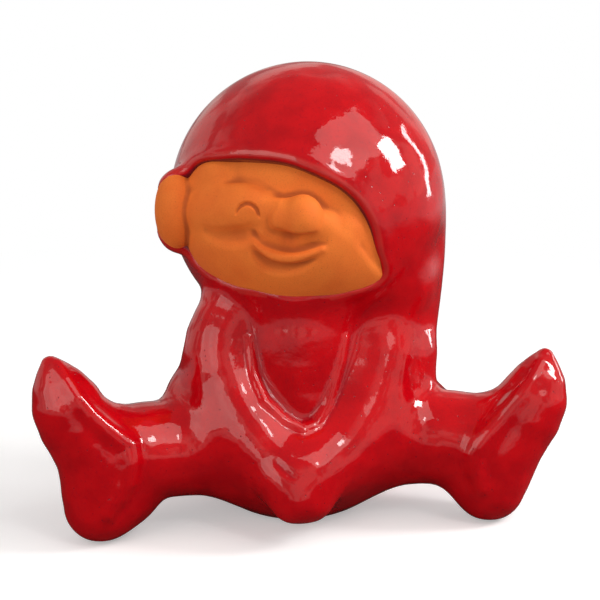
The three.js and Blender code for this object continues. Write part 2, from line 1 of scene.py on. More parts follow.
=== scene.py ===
# A seated ceramic gnome: glazed castings round a bare clay face.
# Forms are worked out in real millimetres in the row's frame, and meshes are made in metres.
# Places are [across, back, up], as shares of the figure's width, its depth and its neck's height.
# Places on the head are shares of the hood's half sizes, from the head's centre.
import json
import math
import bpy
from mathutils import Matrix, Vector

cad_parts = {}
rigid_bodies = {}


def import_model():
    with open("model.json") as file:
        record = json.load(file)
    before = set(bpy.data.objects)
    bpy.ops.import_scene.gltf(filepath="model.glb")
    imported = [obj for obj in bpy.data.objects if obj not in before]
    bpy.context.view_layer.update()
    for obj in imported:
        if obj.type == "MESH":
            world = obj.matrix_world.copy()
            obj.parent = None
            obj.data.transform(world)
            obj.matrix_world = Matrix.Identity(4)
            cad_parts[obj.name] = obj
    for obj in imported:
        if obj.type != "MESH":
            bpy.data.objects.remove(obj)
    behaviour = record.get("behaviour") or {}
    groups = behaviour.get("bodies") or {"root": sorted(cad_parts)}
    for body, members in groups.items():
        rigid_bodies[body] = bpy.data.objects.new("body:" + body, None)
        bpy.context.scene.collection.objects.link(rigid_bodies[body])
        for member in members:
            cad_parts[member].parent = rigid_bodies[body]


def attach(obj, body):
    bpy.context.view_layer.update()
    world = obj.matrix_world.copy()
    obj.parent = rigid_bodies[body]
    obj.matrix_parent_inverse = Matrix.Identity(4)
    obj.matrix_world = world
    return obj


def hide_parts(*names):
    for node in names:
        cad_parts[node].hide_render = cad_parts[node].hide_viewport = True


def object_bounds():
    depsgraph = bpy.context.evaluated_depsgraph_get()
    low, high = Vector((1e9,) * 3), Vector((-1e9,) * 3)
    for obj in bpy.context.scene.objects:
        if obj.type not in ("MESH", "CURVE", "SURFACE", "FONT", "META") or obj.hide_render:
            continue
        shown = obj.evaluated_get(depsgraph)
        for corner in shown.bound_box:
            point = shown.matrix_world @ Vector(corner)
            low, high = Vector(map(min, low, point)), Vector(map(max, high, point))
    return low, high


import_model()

from concurrent.futures import ThreadPoolExecutor

import bmesh
import bpy
import numpy as np
from mathutils import Vector

cad_low, cad_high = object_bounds()

# The frame's scale: metres for each real millimetre of the figure's height
FIGURE_TOP = 117.72
MM = (cad_high.z - cad_low.z) / FIGURE_TOP

# Overall sizes
FIGURE = np.array([138.0, 81.0, 59.0])
HOOD_HALF = np.array([36.4, 35.0, 36.6])
HOOD_THICKNESS = 3.1
HEAD_HALF = HOOD_HALF - HOOD_THICKNESS
NECK_SHARES = (0.036, -0.05, 1.0)
HEAD_RISE_SHARE = 0.612
ROUTE_STEPS = 3
BEND_FILLET_SHARE = 0.1
LINE_FILLET = 0.03

# Small numbers that keep divisions and the ends of tables safe
TINY = 1e-6
TINY_LENGTH = 1e-3
TINY_SLOPE = 0.05
TABLE_END_GAP = 0.001

# Hood: its hem is an even table of angles off the opening's axis, as shares of half a turn
HEM_DEPTH = 6.0
HEM_ROUND = 1.8
HEM_ROLL = 0.35
HEM_ROLL_WIDTH = 2.5
HEM_CORNER_FILLET = 3.5
HEM_OVERLAP = 1.5
EAR_LIP = 0.1
OPENING_ASPECT_SHARES = (-0.408, -0.913, 0.013)
HEM_SHARES = (
    0.234, 0.259, 0.302, 0.247, 0.205, 0.186, 0.172, 0.168, 0.185, 0.211, 0.254, 0.272,
    0.335, 0.282, 0.249, 0.199, 0.169, 0.152, 0.146, 0.146, 0.15, 0.162, 0.184, 0.21,
)

# Clay masses of the face: half sizes across, out and up, how far the middle stands off the head,
# its aspect on the head, its tilt as a share of a turn, and how softly it joins
FACE_MASSES = (
    ((9.5, 7.4, 11.5), -6.6, (-0.89, -0.45, -0.06), 0.0, 4.0),
    ((15.0, 11.0, 10.0), -8.0, (-0.66, -0.72, -0.21), 0.0, 4.0),
    ((17.0, 11.2, 8.5), -8.0, (-0.23, -0.92, -0.32), 0.0, 4.0),
    ((13.0, 9.8, 9.0), -6.3, (-0.26, -0.96, -0.14), 0.0, 4.0),
    ((14.0, 6.8, 6.3), -2.4, (-0.77, -0.64, 0.045), -0.015, 1.8),
    ((8.4, 5.9, 6.2), -0.9, (-0.6, -0.79, 0.105), -0.045, 1.8),
    ((3.0, 3.6, 6.5), -0.2, (-0.42, -0.91, 0.03), 0.0, 2.0),
    ((16.0, 9.0, 12.0), -7.2, (0.24, -0.94, -0.25), 0.0, 5.0),
    ((11.5, 6.4, 6.6), -2.2, (0.01, -0.98, -0.19), -0.13, 1.8),
    ((4.7, 4.4, 4.4), 1.6, (-0.32, -0.95, 0.072), 0.0, 1.8),
    ((5.0, 5.6, 5.7), 2.8, (-0.167, -0.98, 0.075), 0.0, 1.6),
    ((4.2, 3.4, 3.8), 0.8, (-0.036, -1.0, 0.0), -0.1, 1.6),
)
# The brow line: how high it lies above the head's middle, as shares of a turn, in even steps round
BROW_START_SHARE = -0.24
BROW_STEP_SHARE = 0.01
BROW_RISE_SHARES = (
    -0.03, -0.015, -0.002, 0.007, 0.015, 0.0204, 0.0257, 0.031, 0.0354, 0.0396, 0.0414, 0.0431,
    0.044, 0.0439, 0.0431, 0.0398, 0.0344, 0.0288, 0.028, 0.0318, 0.0338, 0.0338, 0.0304, 0.0177,
    0.0039, -0.0064, -0.0134, -0.0218, -0.0319, -0.0447, -0.0545, -0.0605, -0.0645, -0.0675, -0.07,
)
BROW_ROUND = 2.2
BROW_FILLET = 1.0
FACE_SHIFT = (-0.9, -1.5, -1.2)
SKULL_SHIFT = (0.8, -0.5, 0.3)
FACE_LIFT = 1.1
EAR_HALF = (5.6, 7.0, 10.4)
EAR_SHARES = (-0.973, -0.256, 0.0)
TEMPLE_STEP = 1.2
TEMPLE_WIDTH = 5.0
TEMPLE_FILLET = 5.0
EAR_EDGE_FILLET = 0.7
EAR_EDGE_SHARES = (-0.78, -0.4, 0.0)
EAR_EDGE_TURN_SHARE = -0.022


def smooth_min(fillet, *depths):
    """The union of forms, with a fillet of that width where they meet."""
    out = depths[0]
    for other in depths[1:]:
        near = np.maximum(fillet - np.abs(out - other), 0.0) / fillet
        out = np.minimum(out, other) - near * near * (fillet / 4)
    return out


def carve(fillet, clay, cut):
    """The clay with a form cut away and its edge rounded."""
    return -smooth_min(fillet, -clay, cut)


def meet(fillet, *depths):
    """What lies in all the forms, with its edges rounded."""
    return -smooth_min(fillet, *(-depth for depth in depths))


def length(v):
    return np.sqrt(np.einsum("ij,ij->i", v, v))


def ball(p, centre, radius):
    return length(p - np.float32(centre)) - np.float32(radius)


def oval(p, centre, half, axes=None):
    """Nearly the distance to an ellipsoid. The rows of axes are its own directions."""
    q = p - np.float32(centre)
    if axes is not None:
        q = q @ np.float32(axes).T
    half = np.float32(half)
    reach = length(q / half)
    slope = length(q / half ** 2)
    return reach * (reach - 1) / np.maximum(slope, np.float32(TINY))


def cone(p, a, b, radius_a, radius_b):
    """A round bar that tapers from one ball to the next."""
    a, b = np.float32(a), np.float32(b)
    along = b - a
    length2 = np.float32(along @ along)
    taper = np.float32(radius_a - radius_b)
    slant2 = length2 - taper * taper
    start = p - a
    y = start @ along
    z = y - length2
    side = start * length2 - y[:, None] * along
    x2 = np.einsum("ij,ij->i", side, side)
    k = np.sign(taper) * taper * taper * x2
    y2, z2 = y * y * length2, z * z * length2
    middle = (np.sqrt(x2 * slant2 / length2) + y * taper) / length2 - np.float32(radius_a)
    first = np.sqrt(x2 + y2) / length2 - np.float32(radius_a)
    last = np.sqrt(x2 + z2) / length2 - np.float32(radius_b)
    out = np.where(np.sign(y) * slant2 * y2 < k, first, middle)
    return np.where(np.sign(z) * slant2 * z2 > k, last, out)


def smooth(a, b, c, d, t):
    """A smooth value between b and c, with its neighbours a and d."""
    square = (2 * a - 5 * b + 4 * c - d) * t * t
    return (2 * b + (c - a) * t + square + (3 * b - a - 3 * c + d) * t ** 3) / 2


def route(places, radii, steps=ROUTE_STEPS):
    """A smooth way through the places, as points with a radius at each."""
    knots = np.column_stack([np.array(places, float), np.array(radii, float)])
    knots = np.vstack([2 * knots[0] - knots[1], knots, 2 * knots[-1] - knots[-2]])
    spans = range(1, len(knots) - 2)
    out = [smooth(*knots[i - 1:i + 3], s / steps) for i in spans for s in range(steps)]
    return np.array(out + [knots[-2]])


class Limb:
    """A smooth bar along a route: a run of tapered bars."""

    def __init__(self, steps, fillet=None):
        self.steps = np.array(steps)
        self.fillet = self.steps[0, 3] * BEND_FILLET_SHARE if fillet is None else fillet

    def __call__(self, p):
        spans = zip(self.steps[:-1], self.steps[1:])
        return smooth_min(self.fillet, *(cone(p, a[:3], b[:3], a[3], b[3]) for a, b in spans))


def place(shares):
    return np.array(shares) * FIGURE


HEAD = place(NECK_SHARES) + (0, 0, HEAD_RISE_SHARE * HOOD_HALF[2])


def on_head(shares):
    return HEAD + np.array(shares) * HOOD_HALF


def unit(v):
    return np.array(v, float) / np.linalg.norm(v)


def head_axes(aspect, tilt=0.0):
    """Where an aspect meets the head, and its directions across, out and up, tilted."""
    spot = unit(np.array(aspect) * HEAD_HALF)
    skin = spot / np.linalg.norm(spot / HEAD_HALF)
    out = unit(skin / HEAD_HALF ** 2)
    across = -unit(np.cross((0, 0, 1), out))
    up = np.cross(across, out)
    cosine, sine = math.cos(tilt * 2 * math.pi), math.sin(tilt * 2 * math.pi)
    axes = (across * cosine + up * sine, out, up * cosine - across * sine)
    return HEAD + skin, np.array(axes)


OPENING_AXIS = unit(OPENING_ASPECT_SHARES)
OPENING_SIDE = unit(np.cross(OPENING_AXIS, (0, 0, 1)))
OPENING_RISE = np.cross(OPENING_SIDE, OPENING_AXIS)


def hem_distance(p):
    """Millimetres from the hem, along the hood: negative inside the opening."""
    d = p - np.float32(HEAD)
    d = d / np.maximum(length(d), np.float32(TINY_LENGTH))[:, None]
    around = np.arctan2(d @ np.float32(OPENING_RISE), d @ np.float32(OPENING_SIDE))
    away = np.arccos(np.clip(d @ np.float32(OPENING_AXIS), -1, 1))
    count = len(HEM_SHARES)
    turn = (around / (2 * math.pi) + 1.5) * count
    i = np.floor(turn).astype(int)
    table = np.float32(HEM_SHARES)
    hem = smooth(*(table[(i + j) % count] for j in (-1, 0, 1, 2)), turn - i)
    return ((away - hem * math.pi) * HOOD_HALF[1]).astype(np.float32)


def head_oval(p):
    return oval(p, HEAD, HEAD_HALF)


def face_mass(half, rise, aspect, tilt):
    skin, axes = head_axes(aspect, tilt)
    centre = skin + axes[1] * rise
    return lambda p: oval(p, centre, half, axes)


FACE = [(face_mass(*mass), fillet) for *mass, fillet in FACE_MASSES]


def ear(p, grown=0.0):
    return oval(p, on_head(EAR_SHARES), np.array(EAR_HALF) + grown)


def cloth(p):
    return smooth_min(HEM_CORNER_FILLET, oval(p, HEAD, HOOD_HALF), ear(p, EAR_LIP))


def above_brow(p):
    """Millimetres above the brow line, along the head."""
    d = p - np.float32(HEAD)
    around = np.arctan2(d[:, 0], -d[:, 1]) / (2 * math.pi)
    sine = d[:, 2] / np.maximum(length(d), np.float32(TINY_LENGTH))
    rise = np.arcsin(np.clip(sine, -1, 1)) / (2 * math.pi)
    table = np.float32(BROW_RISE_SHARES)
    last = len(table) - 2 - TABLE_END_GAP
    step = np.clip((around - BROW_START_SHARE) / BROW_STEP_SHARE, 1, last)
    i = np.floor(step).astype(int)
    line = smooth(*(table[i + j] for j in (-1, 0, 1, 2)), step - i)
    return ((rise - line) * 2 * math.pi * HEAD_HALF[2]).astype(np.float32)


EAR_EDGE_TURN = EAR_EDGE_TURN_SHARE * 2 * math.pi
EAR_EDGE = np.float32((math.cos(EAR_EDGE_TURN), math.sin(EAR_EDGE_TURN), 0))


def bulk(p):
    """The head's clay before its lines are cut. Below the brow the face stands forward."""
    opening = hem_distance(p) - HEM_OVERLAP
    face_oval = oval(p, HEAD + FACE_SHIFT, HEAD_HALF + FACE_LIFT)
    mask = meet(BROW_ROUND, face_oval, above_brow(p), opening)
    beside = (p - np.float32(on_head(EAR_EDGE_SHARES))) @ EAR_EDGE
    temple = meet(TEMPLE_FILLET, cloth(p) + TEMPLE_STEP, beside - TEMPLE_WIDTH, opening)
    skull = smooth_min(TEMPLE_FILLET, oval(p, HEAD + SKULL_SHIFT, HEAD_HALF), temple)
    out = smooth_min(BROW_FILLET, skull, mask)
    for mass, fillet in FACE:
        out = smooth_min(fillet, out, mass(p))
    return smooth_min(EAR_EDGE_FILLET, out, meet(EAR_EDGE_FILLET, ear(p), beside))


def hood(p):
    edge = hem_distance(p)
    roll = HEM_ROLL * np.exp(-((edge - HEM_ROLL_WIDTH) / HEM_ROLL_WIDTH) ** 2)
    return carve(HEM_ROUND, cloth(p) - roll, np.maximum(edge, -head_oval(p) - HEM_DEPTH))


# Hood's tail
TAIL_ROOT_SHARES = (0.603, 0.142, -0.057)
TAIL_SHARES = (
    (0.227, -0.049, 1.125), (0.221, -0.099, 0.963), (0.208, -0.148, 0.794),
    (0.201, -0.198, 0.634), (0.195, -0.1, 0.3),
)
TAIL_RADII = (14.0, 10.4, 9.8, 9.6, 9.6, 6.0)
TAIL_FILLET = 6.0
TAIL_REACH = 3.0

# Torso, lap, chest and seat
TORSO_SHARES = ((0.024, -0.073, 0.804), (0.022, -0.073, 0.568), (0.021, -0.073, 0.324))
TORSO_RADII = (22.0, 24.0, 25.0)
HIP_HALF = (23.5, 25.0, 17.0)
HIP_SHARES = (-0.002, -0.198, 0.268)
SEAT_HALF = (23.0, 21.0, 14.5)
SEAT_SHARES = (0.0, 0.0, 0.16)
LAP_FILLET = 8.0
CHEST_SHARES = (
    (0.005, -0.228, 0.927), (0.002, -0.242, 0.748), (0.001, -0.278, 0.605), (0.002, -0.333, 0.56),
)
CHEST_RADII = (15.5, 15.0, 12.5, 8.0)
CHEST_FILLET = 2.0
HOOD_FILLET = 5.0
HOOD_REACH = 3.0
SEAT_PLATE_RADIUS = 12.5
SEAT_RECESS = 24.0
SEAT_EDGE_ROUND = 0.4
FOOT_ROUND = 1.6

# Arms and clasped mittens
ARM_RADII = (9.5, 9.8, 9.2, 8.0, 6.8)
ARM_SHARES = {
    "left": (
        (-0.117, -0.222, 0.927), (-0.145, -0.271, 0.76), (-0.123, -0.347, 0.56),
        (-0.08, -0.431, 0.408), (-0.038, -0.492, 0.316),
    ),
    "right": (
        (0.159, -0.21, 0.88), (0.156, -0.271, 0.732), (0.121, -0.347, 0.532),
        (0.07, -0.42, 0.384), (0.015, -0.481, 0.312),
    ),
}
ARM_FILLET = 9.0
ARM_REACH = 2.0
MITTEN_RADII = (6.7, 7.1)
MITTEN_SHARES = {
    "left": ((-0.048, -0.507, 0.296), (-0.026, -0.53, 0.224)),
    "right": ((0.01, -0.507, 0.308), (-0.003, -0.519, 0.22)),
}
HAND_FILLET = 2.5
HAND_REACH = 1.5
CLASP_FILLET = 1.2

# Legs and boots
LEG_RADII = (14.2, 12.4, 12.2)
LEG_SHARES = {
    "left": ((-0.103, -0.271, 0.368), (-0.219, -0.297, 0.356), (-0.327, -0.347, 0.368)),
    "right": ((0.111, -0.271, 0.356), (0.234, -0.297, 0.356), (0.337, -0.347, 0.344)),
}
LEG_FILLET = 8.0
LEG_REACH = 4.0
BOOT_RADII = (9.5, 9.0, 8.8, 2.4)
BOOT_SHARES = {
    "left": (
        (-0.38, -0.396, 0.156), (-0.393, -0.396, 0.38),
        (-0.434, -0.396, 0.604), (-0.463, -0.382, 0.792),
    ),
    "right": (
        (0.359, -0.396, 0.156), (0.393, -0.396, 0.34),
        (0.438, -0.396, 0.544), (0.462, -0.382, 0.736),
    ),
}
BOOT_FILLET = 7.0
BOOT_REACH = 2.0

# The hood's drape over its tail, a ball placed on the head, and balls of slip that fill creases
DRAPE_RADIUS = 10.0
DRAPE_SHARES = (0.582, -0.37, -0.559)
CREASE_FILLET = 5.0
CREASE_FILLS = (
    (6.0, (-0.204, -0.221, 0.564)),
    (4.6, (0.268, -0.173, 0.47)),
    (7.4, (-0.33, -0.37, 0.19)),
)

SIDES = ("left", "right")


def places(shares):
    return [place(s) for s in shares]


def limbs(shares, radii):
    return {side: Limb(route(places(shares[side]), radii)) for side in SIDES}


arms = limbs(ARM_SHARES, ARM_RADII)
mittens = limbs(MITTEN_SHARES, MITTEN_RADII)
legs = limbs(LEG_SHARES, LEG_RADII)
boots = limbs(BOOT_SHARES, BOOT_RADII)
tail = Limb(route([on_head(TAIL_ROOT_SHARES)] + places(TAIL_SHARES), TAIL_RADII))
torso = Limb(route(places(TORSO_SHARES), TORSO_RADII))
chest = Limb(route(places(CHEST_SHARES), CHEST_RADII))


def clasp(p):
    return smooth_min(CLASP_FILLET, *(mittens[side](p) for side in SIDES))


def plain_body(p):
    hips = oval(p, place(HIP_SHARES), HIP_HALF)
    seat = oval(p, place(SEAT_SHARES), SEAT_HALF)
    out = smooth_min(LAP_FILLET, torso(p), hips, seat)
    out = smooth_min(LEG_FILLET, out, *(legs[side](p) for side in SIDES))
    out = smooth_min(BOOT_FILLET, out, *(boots[side](p) for side in SIDES))
    fills = (ball(p, place(shares), radius) for radius, shares in CREASE_FILLS)
    out = smooth_min(CREASE_FILLET, out, *fills)
    out = smooth_min(ARM_FILLET, out, *(arms[side](p) for side in SIDES))
    out = smooth_min(CHEST_FILLET, out, chest(p))
    return smooth_min(HAND_FILLET, out, clasp(p))


# Ridges on the soles and round the bib: places, a radius at each, and the fillet beside them
RIDGES = (
    (
        (
            (-0.451, -0.409, 0.812), (-0.436, -0.456, 0.756), (-0.417, -0.485, 0.688),
            (-0.395, -0.49, 0.617), (-0.369, -0.484, 0.549), (-0.345, -0.484, 0.501),
            (-0.327, -0.488, 0.466), (-0.323, -0.503, 0.396), (-0.331, -0.507, 0.313),
            (-0.35, -0.509, 0.235), (-0.367, -0.511, 0.175),
        ),
        (0.1, 0.4, 0.9, 1.3, 1.5, 1.5, 1.4, 1.3, 1.2, 0.9, 0.4), 3.5,
    ),
    (
        (
            (0.447, -0.428, 0.734), (0.423, -0.462, 0.669), (0.397, -0.474, 0.599),
            (0.369, -0.477, 0.521), (0.341, -0.49, 0.452), (0.32, -0.497, 0.389),
            (0.313, -0.498, 0.353), (0.315, -0.501, 0.285), (0.327, -0.505, 0.201),
        ),
        (0.1, 0.5, 1.1, 1.5, 1.5, 1.4, 1.2, 0.9, 0.4), 4.0,
    ),
    (
        (
            (-0.099, -0.356, 0.867), (-0.093, -0.398, 0.718), (-0.076, -0.442, 0.618),
            (-0.039, -0.466, 0.534), (-0.008, -0.478, 0.5), (0.016, -0.462, 0.512),
            (0.039, -0.435, 0.575), (0.057, -0.411, 0.68), (0.07, -0.396, 0.763),
            (0.081, -0.379, 0.859),
        ),
        (0.3, 0.7, 0.9, 1.0, 1.0, 1.0, 0.9, 0.9, 0.7, 0.3), 1.8,
    ),
)
# The crease between the mittens: places, a depth at each, and how softly it is cut in
GROOVES = (
    (
        (
            (-0.063, -0.565, 0.396), (-0.053, -0.579, 0.375), (-0.043, -0.589, 0.356),
            (-0.036, -0.594, 0.344),
        ),
        (-0.1, 0.15, 0.15, -0.1), 1.2,
    ),
)
GROOVE_LIFT = 0.8


def line_on(form, spots, depths, lift, steps=ROUTE_STEPS):
    """A bar along a line of spots brought onto the form's skin, lifted off it and as much thicker."""
    at = drawn(form, np.array(spots))
    out = gradient(form, at)
    at = at + out / np.linalg.norm(out, axis=1)[:, None] * lift
    return Limb(route(at, np.array(depths) + lift, steps), LINE_FILLET)


def body(p):
    out = plain_body(p)
    for line, fillet in ridges:
        out = smooth_min(fillet, out, line(p))
    for line, round_ in grooves:
        out = carve(round_, out, line(p))
    return out


def glazed(p):
    """The skin of all that is glazed, level at the floor, with the seat plate's recess."""
    cap = smooth_min(TAIL_FILLET, hood(p), tail(p), ball(p, on_head(DRAPE_SHARES), DRAPE_RADIUS))
    out = smooth_min(HOOD_FILLET, cap, body(p))
    out = carve(FOOT_ROUND, out, p[:, 2])
    across = np.sqrt(p[:, 0] ** 2 + p[:, 1] ** 2)
    return carve(SEAT_EDGE_ROUND, out, np.maximum(across - SEAT_PLATE_RADIUS, p[:, 2] - SEAT_RECESS))


# The raised lip: shares of the head's half sizes, a radius at each, and the fillet beside it
LIP_LINE = (
    (
        (-0.521, -0.975, -0.134), (-0.479, -1.0, -0.171), (-0.415, -1.03, -0.201),
        (-0.329, -1.061, -0.218), (-0.228, -1.086, -0.209), (-0.141, -1.103, -0.182),
        (-0.053, -1.115, -0.148),
    ),
    (0.3, 0.8, 1.1, 1.15, 1.1, 0.8, 0.3), 2.0,
)
# Lines cut into the face: shares of the head's half sizes, a depth at each, how softly they are cut
# in, and how far the bar that cuts them is lifted off the skin
FACE_LINES = {
    "under_eye": (
        (
            (-0.868, -0.685, -0.078), (-0.799, -0.755, -0.1), (-0.715, -0.823, -0.1),
            (-0.631, -0.887, -0.085), (-0.561, -0.936, -0.057), (-0.513, -0.978, -0.012),
        ),
        (-0.05, 0.5, 0.95, 1.0, 0.6, 0.0), 1.6, 1.3,
    ),
    "nose": (
        (
            (-0.402, -1.055, 0.172), (-0.447, -1.059, 0.115), (-0.457, -1.052, 0.047),
            (-0.432, -1.051, -0.014), (-0.367, -1.067, -0.051), (-0.281, -1.093, -0.07),
            (-0.195, -1.173, -0.056), (-0.114, -1.176, -0.028),
        ),
        (0.1, 0.55, 0.8, 0.95, 1.1, 1.3, 1.2, 0.0), 1.4, 0.8,
    ),
    "smile": (
        (
            (-0.533, -0.958, -0.054), (-0.479, -1.005, -0.095), (-0.401, -1.041, -0.127),
            (-0.316, -1.072, -0.146), (-0.221, -1.093, -0.152), (-0.119, -1.106, -0.142),
            (-0.016, -1.117, -0.111),
        ),
        (0.2, 0.6, 0.8, 0.8, 0.65, 0.3, -0.4), 1.0, 0.5,
    ),
    "under_lip": (
        (
            (-0.524, -0.972, -0.164), (-0.492, -0.985, -0.223), (-0.435, -1.003, -0.274),
            (-0.348, -1.032, -0.298), (-0.255, -1.061, -0.29), (-0.168, -1.089, -0.256),
            (-0.096, -1.109, -0.209),
        ),
        (0.3, 1.0, 1.3, 1.2, 0.8, 0.2, -0.5), 1.4, 0.6,
    ),
    "eye": (
        (
            (-0.667, -0.937, 0.098), (-0.65, -0.942, 0.136), (-0.62, -0.95, 0.165),
            (-0.579, -0.961, 0.177), (-0.539, -0.975, 0.162), (-0.512, -0.985, 0.13),
            (-0.497, -0.997, 0.085),
        ),
        (0.3, 0.46, 0.56, 0.56, 0.56, 0.46, 0.3), 0.2, 0.1,
    ),
}


# Meshes: surface nets on a grid, then drawn onto the form
CHUNK = 40000
THREADS = 4
COARSE = 4
NEAR_BLOCKS = 1.3
DRAW_STEPS = 3
GRADIENT_STEP = 0.12


def sampled(form, points):
    """A form's depth at many points, a chunk at a time."""
    points = np.asarray(points, np.float32)
    chunks = [points[i:i + CHUNK] for i in range(0, len(points), CHUNK)]
    if not chunks:
        return np.zeros(0, np.float32)
    with ThreadPoolExecutor(THREADS) as pool:
        return np.concatenate(list(pool.map(form, chunks)))


def gradient(form, points, step=GRADIENT_STEP):
    """The form's slope at each point, which points out of it."""
    out = np.empty((len(points), 3))
    for i in range(3):
        shift = np.zeros(3)
        shift[i] = step
        out[:, i] = (sampled(form, points + shift) - sampled(form, points - shift)) / (2 * step)
    return out


def lattice(*ways):
    """Every point of a grid, from its places along each axis."""
    return np.stack(np.meshgrid(*ways, indexing="ij"), -1).reshape(-1, 3)


def on_grid(form, low, counts, step):
    """The form's depth on a grid, worked out only near its skin."""
    blocks = counts // COARSE
    block = step * COARSE
    middles = lattice(*(low[i] + block * (np.arange(blocks[i]) + 0.5) - step / 2 for i in range(3)))
    rough = sampled(form, middles)
    near = np.abs(rough) < block * NEAR_BLOCKS
    within = (lattice(*(np.arange(COARSE),) * 3) - (COARSE - 1) / 2) * step
    fine = np.repeat(rough[:, None], COARSE ** 3, axis=1)
    inner = (middles[near][:, None] + within).reshape(-1, 3)
    fine[near] = sampled(form, inner).reshape(-1, COARSE ** 3)
    fine = fine.reshape(*blocks, COARSE, COARSE, COARSE)
    return fine.transpose(0, 3, 1, 4, 2, 5).reshape(counts)


def skin_of(form, low, high, step):
    """A mesh of quads on the form's skin: its points and faces."""
    counts = (np.ceil((np.array(high) - low) / step / COARSE).astype(int) + 1) * COARSE
    value = on_grid(form, np.array(low, float), counts, step)
    inside = value < 0
    corners = lattice((0, 1), (0, 1), (0, 1))
    size = counts - 1
    tally = np.zeros(size, np.int8)
    for corner in corners:
        tally += inside[tuple(slice(a, a + n) for a, n in zip(corner, size))]
    cells = np.argwhere((tally > 0) & (tally < len(corners)))
    index = np.full(size, -1)
    index[tuple(cells.T)] = np.arange(len(cells))
    total, found = np.zeros((len(cells), 3)), np.zeros(len(cells))
    for axis in range(3):
        for corner in corners[corners[:, axis] == 0]:
            a = cells + corner
            b = a.copy()
            b[:, axis] += 1
            va, vb = value[tuple(a.T)], value[tuple(b.T)]
            cross = (va < 0) != (vb < 0)
            share = np.where(cross, va / np.where(cross, va - vb, 1), 0)
            point = a.astype(float)
            point[:, axis] += share
            total += point * cross[:, None]
            found += cross
    points = low + step * total / found[:, None]
    quads = []
    for axis in range(3):
        one, two = (axis + 1) % 3, (axis + 2) % 3
        limit = [slice(1, n) for n in size]
        limit[axis] = slice(0, size[axis])
        here = inside[tuple(limit)]
        beyond = list(limit)
        beyond[axis] = slice(1, size[axis] + 1)
        there = inside[tuple(beyond)]
        for flip, mask in ((False, here & ~there), (True, ~here & there)):
            at = np.argwhere(mask) + 1
            at[:, axis] -= 1
            ring = []
            for s, t in ((1, 1), (0, 1), (0, 0), (1, 0)):
                cell = at.copy()
                cell[:, one] -= s
                cell[:, two] -= t
                ring.append(index[tuple(cell.T)])
            ring = np.stack(ring, 1)
            quads.append(ring[:, ::-1] if flip else ring)
    quads = np.concatenate(quads)
    return drawn(form, relaxed(points, quads)), quads


def relaxed(points, quads, rounds=2, pull=0.5):
    """The points moved towards the middle of their neighbours."""
    for _ in range(rounds):
        total, found = np.zeros_like(points), np.zeros(len(points))
        for i in range(4):
            a, b = quads[:, i], quads[:, (i + 1) % 4]
            for x, y in ((a, b), (b, a)):
                for k in range(3):
                    total[:, k] += np.bincount(x, points[y, k], len(points))
                found += np.bincount(x, minlength=len(points))
        points = points + pull * (total / np.maximum(found, 1)[:, None] - points)
    return points


def drawn(form, points, rounds=DRAW_STEPS):
    """The points moved along the form's slope until they lie on its skin."""
    for _ in range(rounds):
        slope = gradient(form, points)
        depth = sampled(form, points)
        points = points - slope * (depth / np.maximum((slope ** 2).sum(1), TINY_SLOPE))[:, None]
    return points


def body_lines(rows, lift):
    """Straight-stepped bars on the body, each with its fillet."""
    bars = (line_on(plain_body, places(row), depths, lift, 1) for row, depths, _ in rows)
    return [(bar, fillet) for bar, (_, _, fillet) in zip(bars, rows)]


def face_line(form, shares, depths, lift):
    return line_on(form, HEAD + np.array(shares) * HEAD_HALF, depths, lift)


ridges = body_lines(RIDGES, 0.0)
grooves = body_lines(GROOVES, GROOVE_LIFT)
lip_shares, lip_radii, lip_fillet = LIP_LINE
lip = face_line(bulk, lip_shares, lip_radii, 0.0)
face_cuts = []


def face(p):
    """The head's clay with its lines."""
    out = smooth_min(lip_fillet, bulk(p), lip(p))
    for line, soft in face_cuts:
        out = carve(soft, out, line(p))
    return out


# Each line is placed on the clay that the lines before it leave
for shares, depths, soft, lift in FACE_LINES.values():
    face_cuts.append((face_line(face, shares, depths, lift), soft))


# The castings under the glaze, in the order that decides where one ends. The torso has the rest.
CASTINGS = (
    "hood", "mittens", "arm_left", "arm_right", "boot_left", "boot_right", "leg_left", "leg_right",
    "hood_tail", "torso",
)


def castings(p):
    """Which casting each point belongs to: the first whose bound it lies in."""
    round_head = np.minimum(oval(p, HEAD, HOOD_HALF) - HOOD_REACH, ear(p, HOOD_REACH))
    bounds = [round_head, clasp(p) - HAND_REACH]
    for pair, reach in ((arms, ARM_REACH), (boots, BOOT_REACH), (legs, LEG_REACH)):
        bounds += [pair[side](p) - reach for side in SIDES]
    bounds.append(tail(p) - TAIL_REACH)
    out = np.full(len(p), len(bounds))
    for i in reversed(range(len(bounds))):
        out[bounds[i] < 0] = i
    return out


# Pieces: a patch of skin with its wall and its edge, closed all round
WALL = 2.0
CLAY_WALL = 1.2
BURIED = 1.6
CURVE_STEP = 1.2
NEIGHBOURS = 6


def hollowness(form, p):
    """How hollow the skin is there, in 1/mm: above zero in creases."""
    total = -NEIGHBOURS * sampled(form, p)
    for i in range(3):
        for way in (-CURVE_STEP, CURVE_STEP):
            shift = np.zeros(3)
            shift[i] = way
            total += sampled(form, p + shift)
    return -total / CURVE_STEP ** 2


def evened(values, faces, rounds=4):
    """The values, each averaged with those round it."""
    corners = faces.ravel()
    shared = np.maximum(np.bincount(corners, minlength=len(values)), 1)
    for _ in range(rounds):
        means = np.repeat(values[faces].mean(axis=1), faces.shape[1])
        values = np.bincount(corners, means, len(values)) / shared
    return values.astype(np.float32)


def compact(points, faces):
    """Only the points that the faces use, with the faces renumbered and the points' old numbers."""
    used, flat = np.unique(faces, return_inverse=True)
    return points[used], flat.reshape(faces.shape), used


def shown(name, data):
    """An object in the scene."""
    made = bpy.data.objects.new(name, data)
    bpy.context.scene.collection.objects.link(made)
    return made


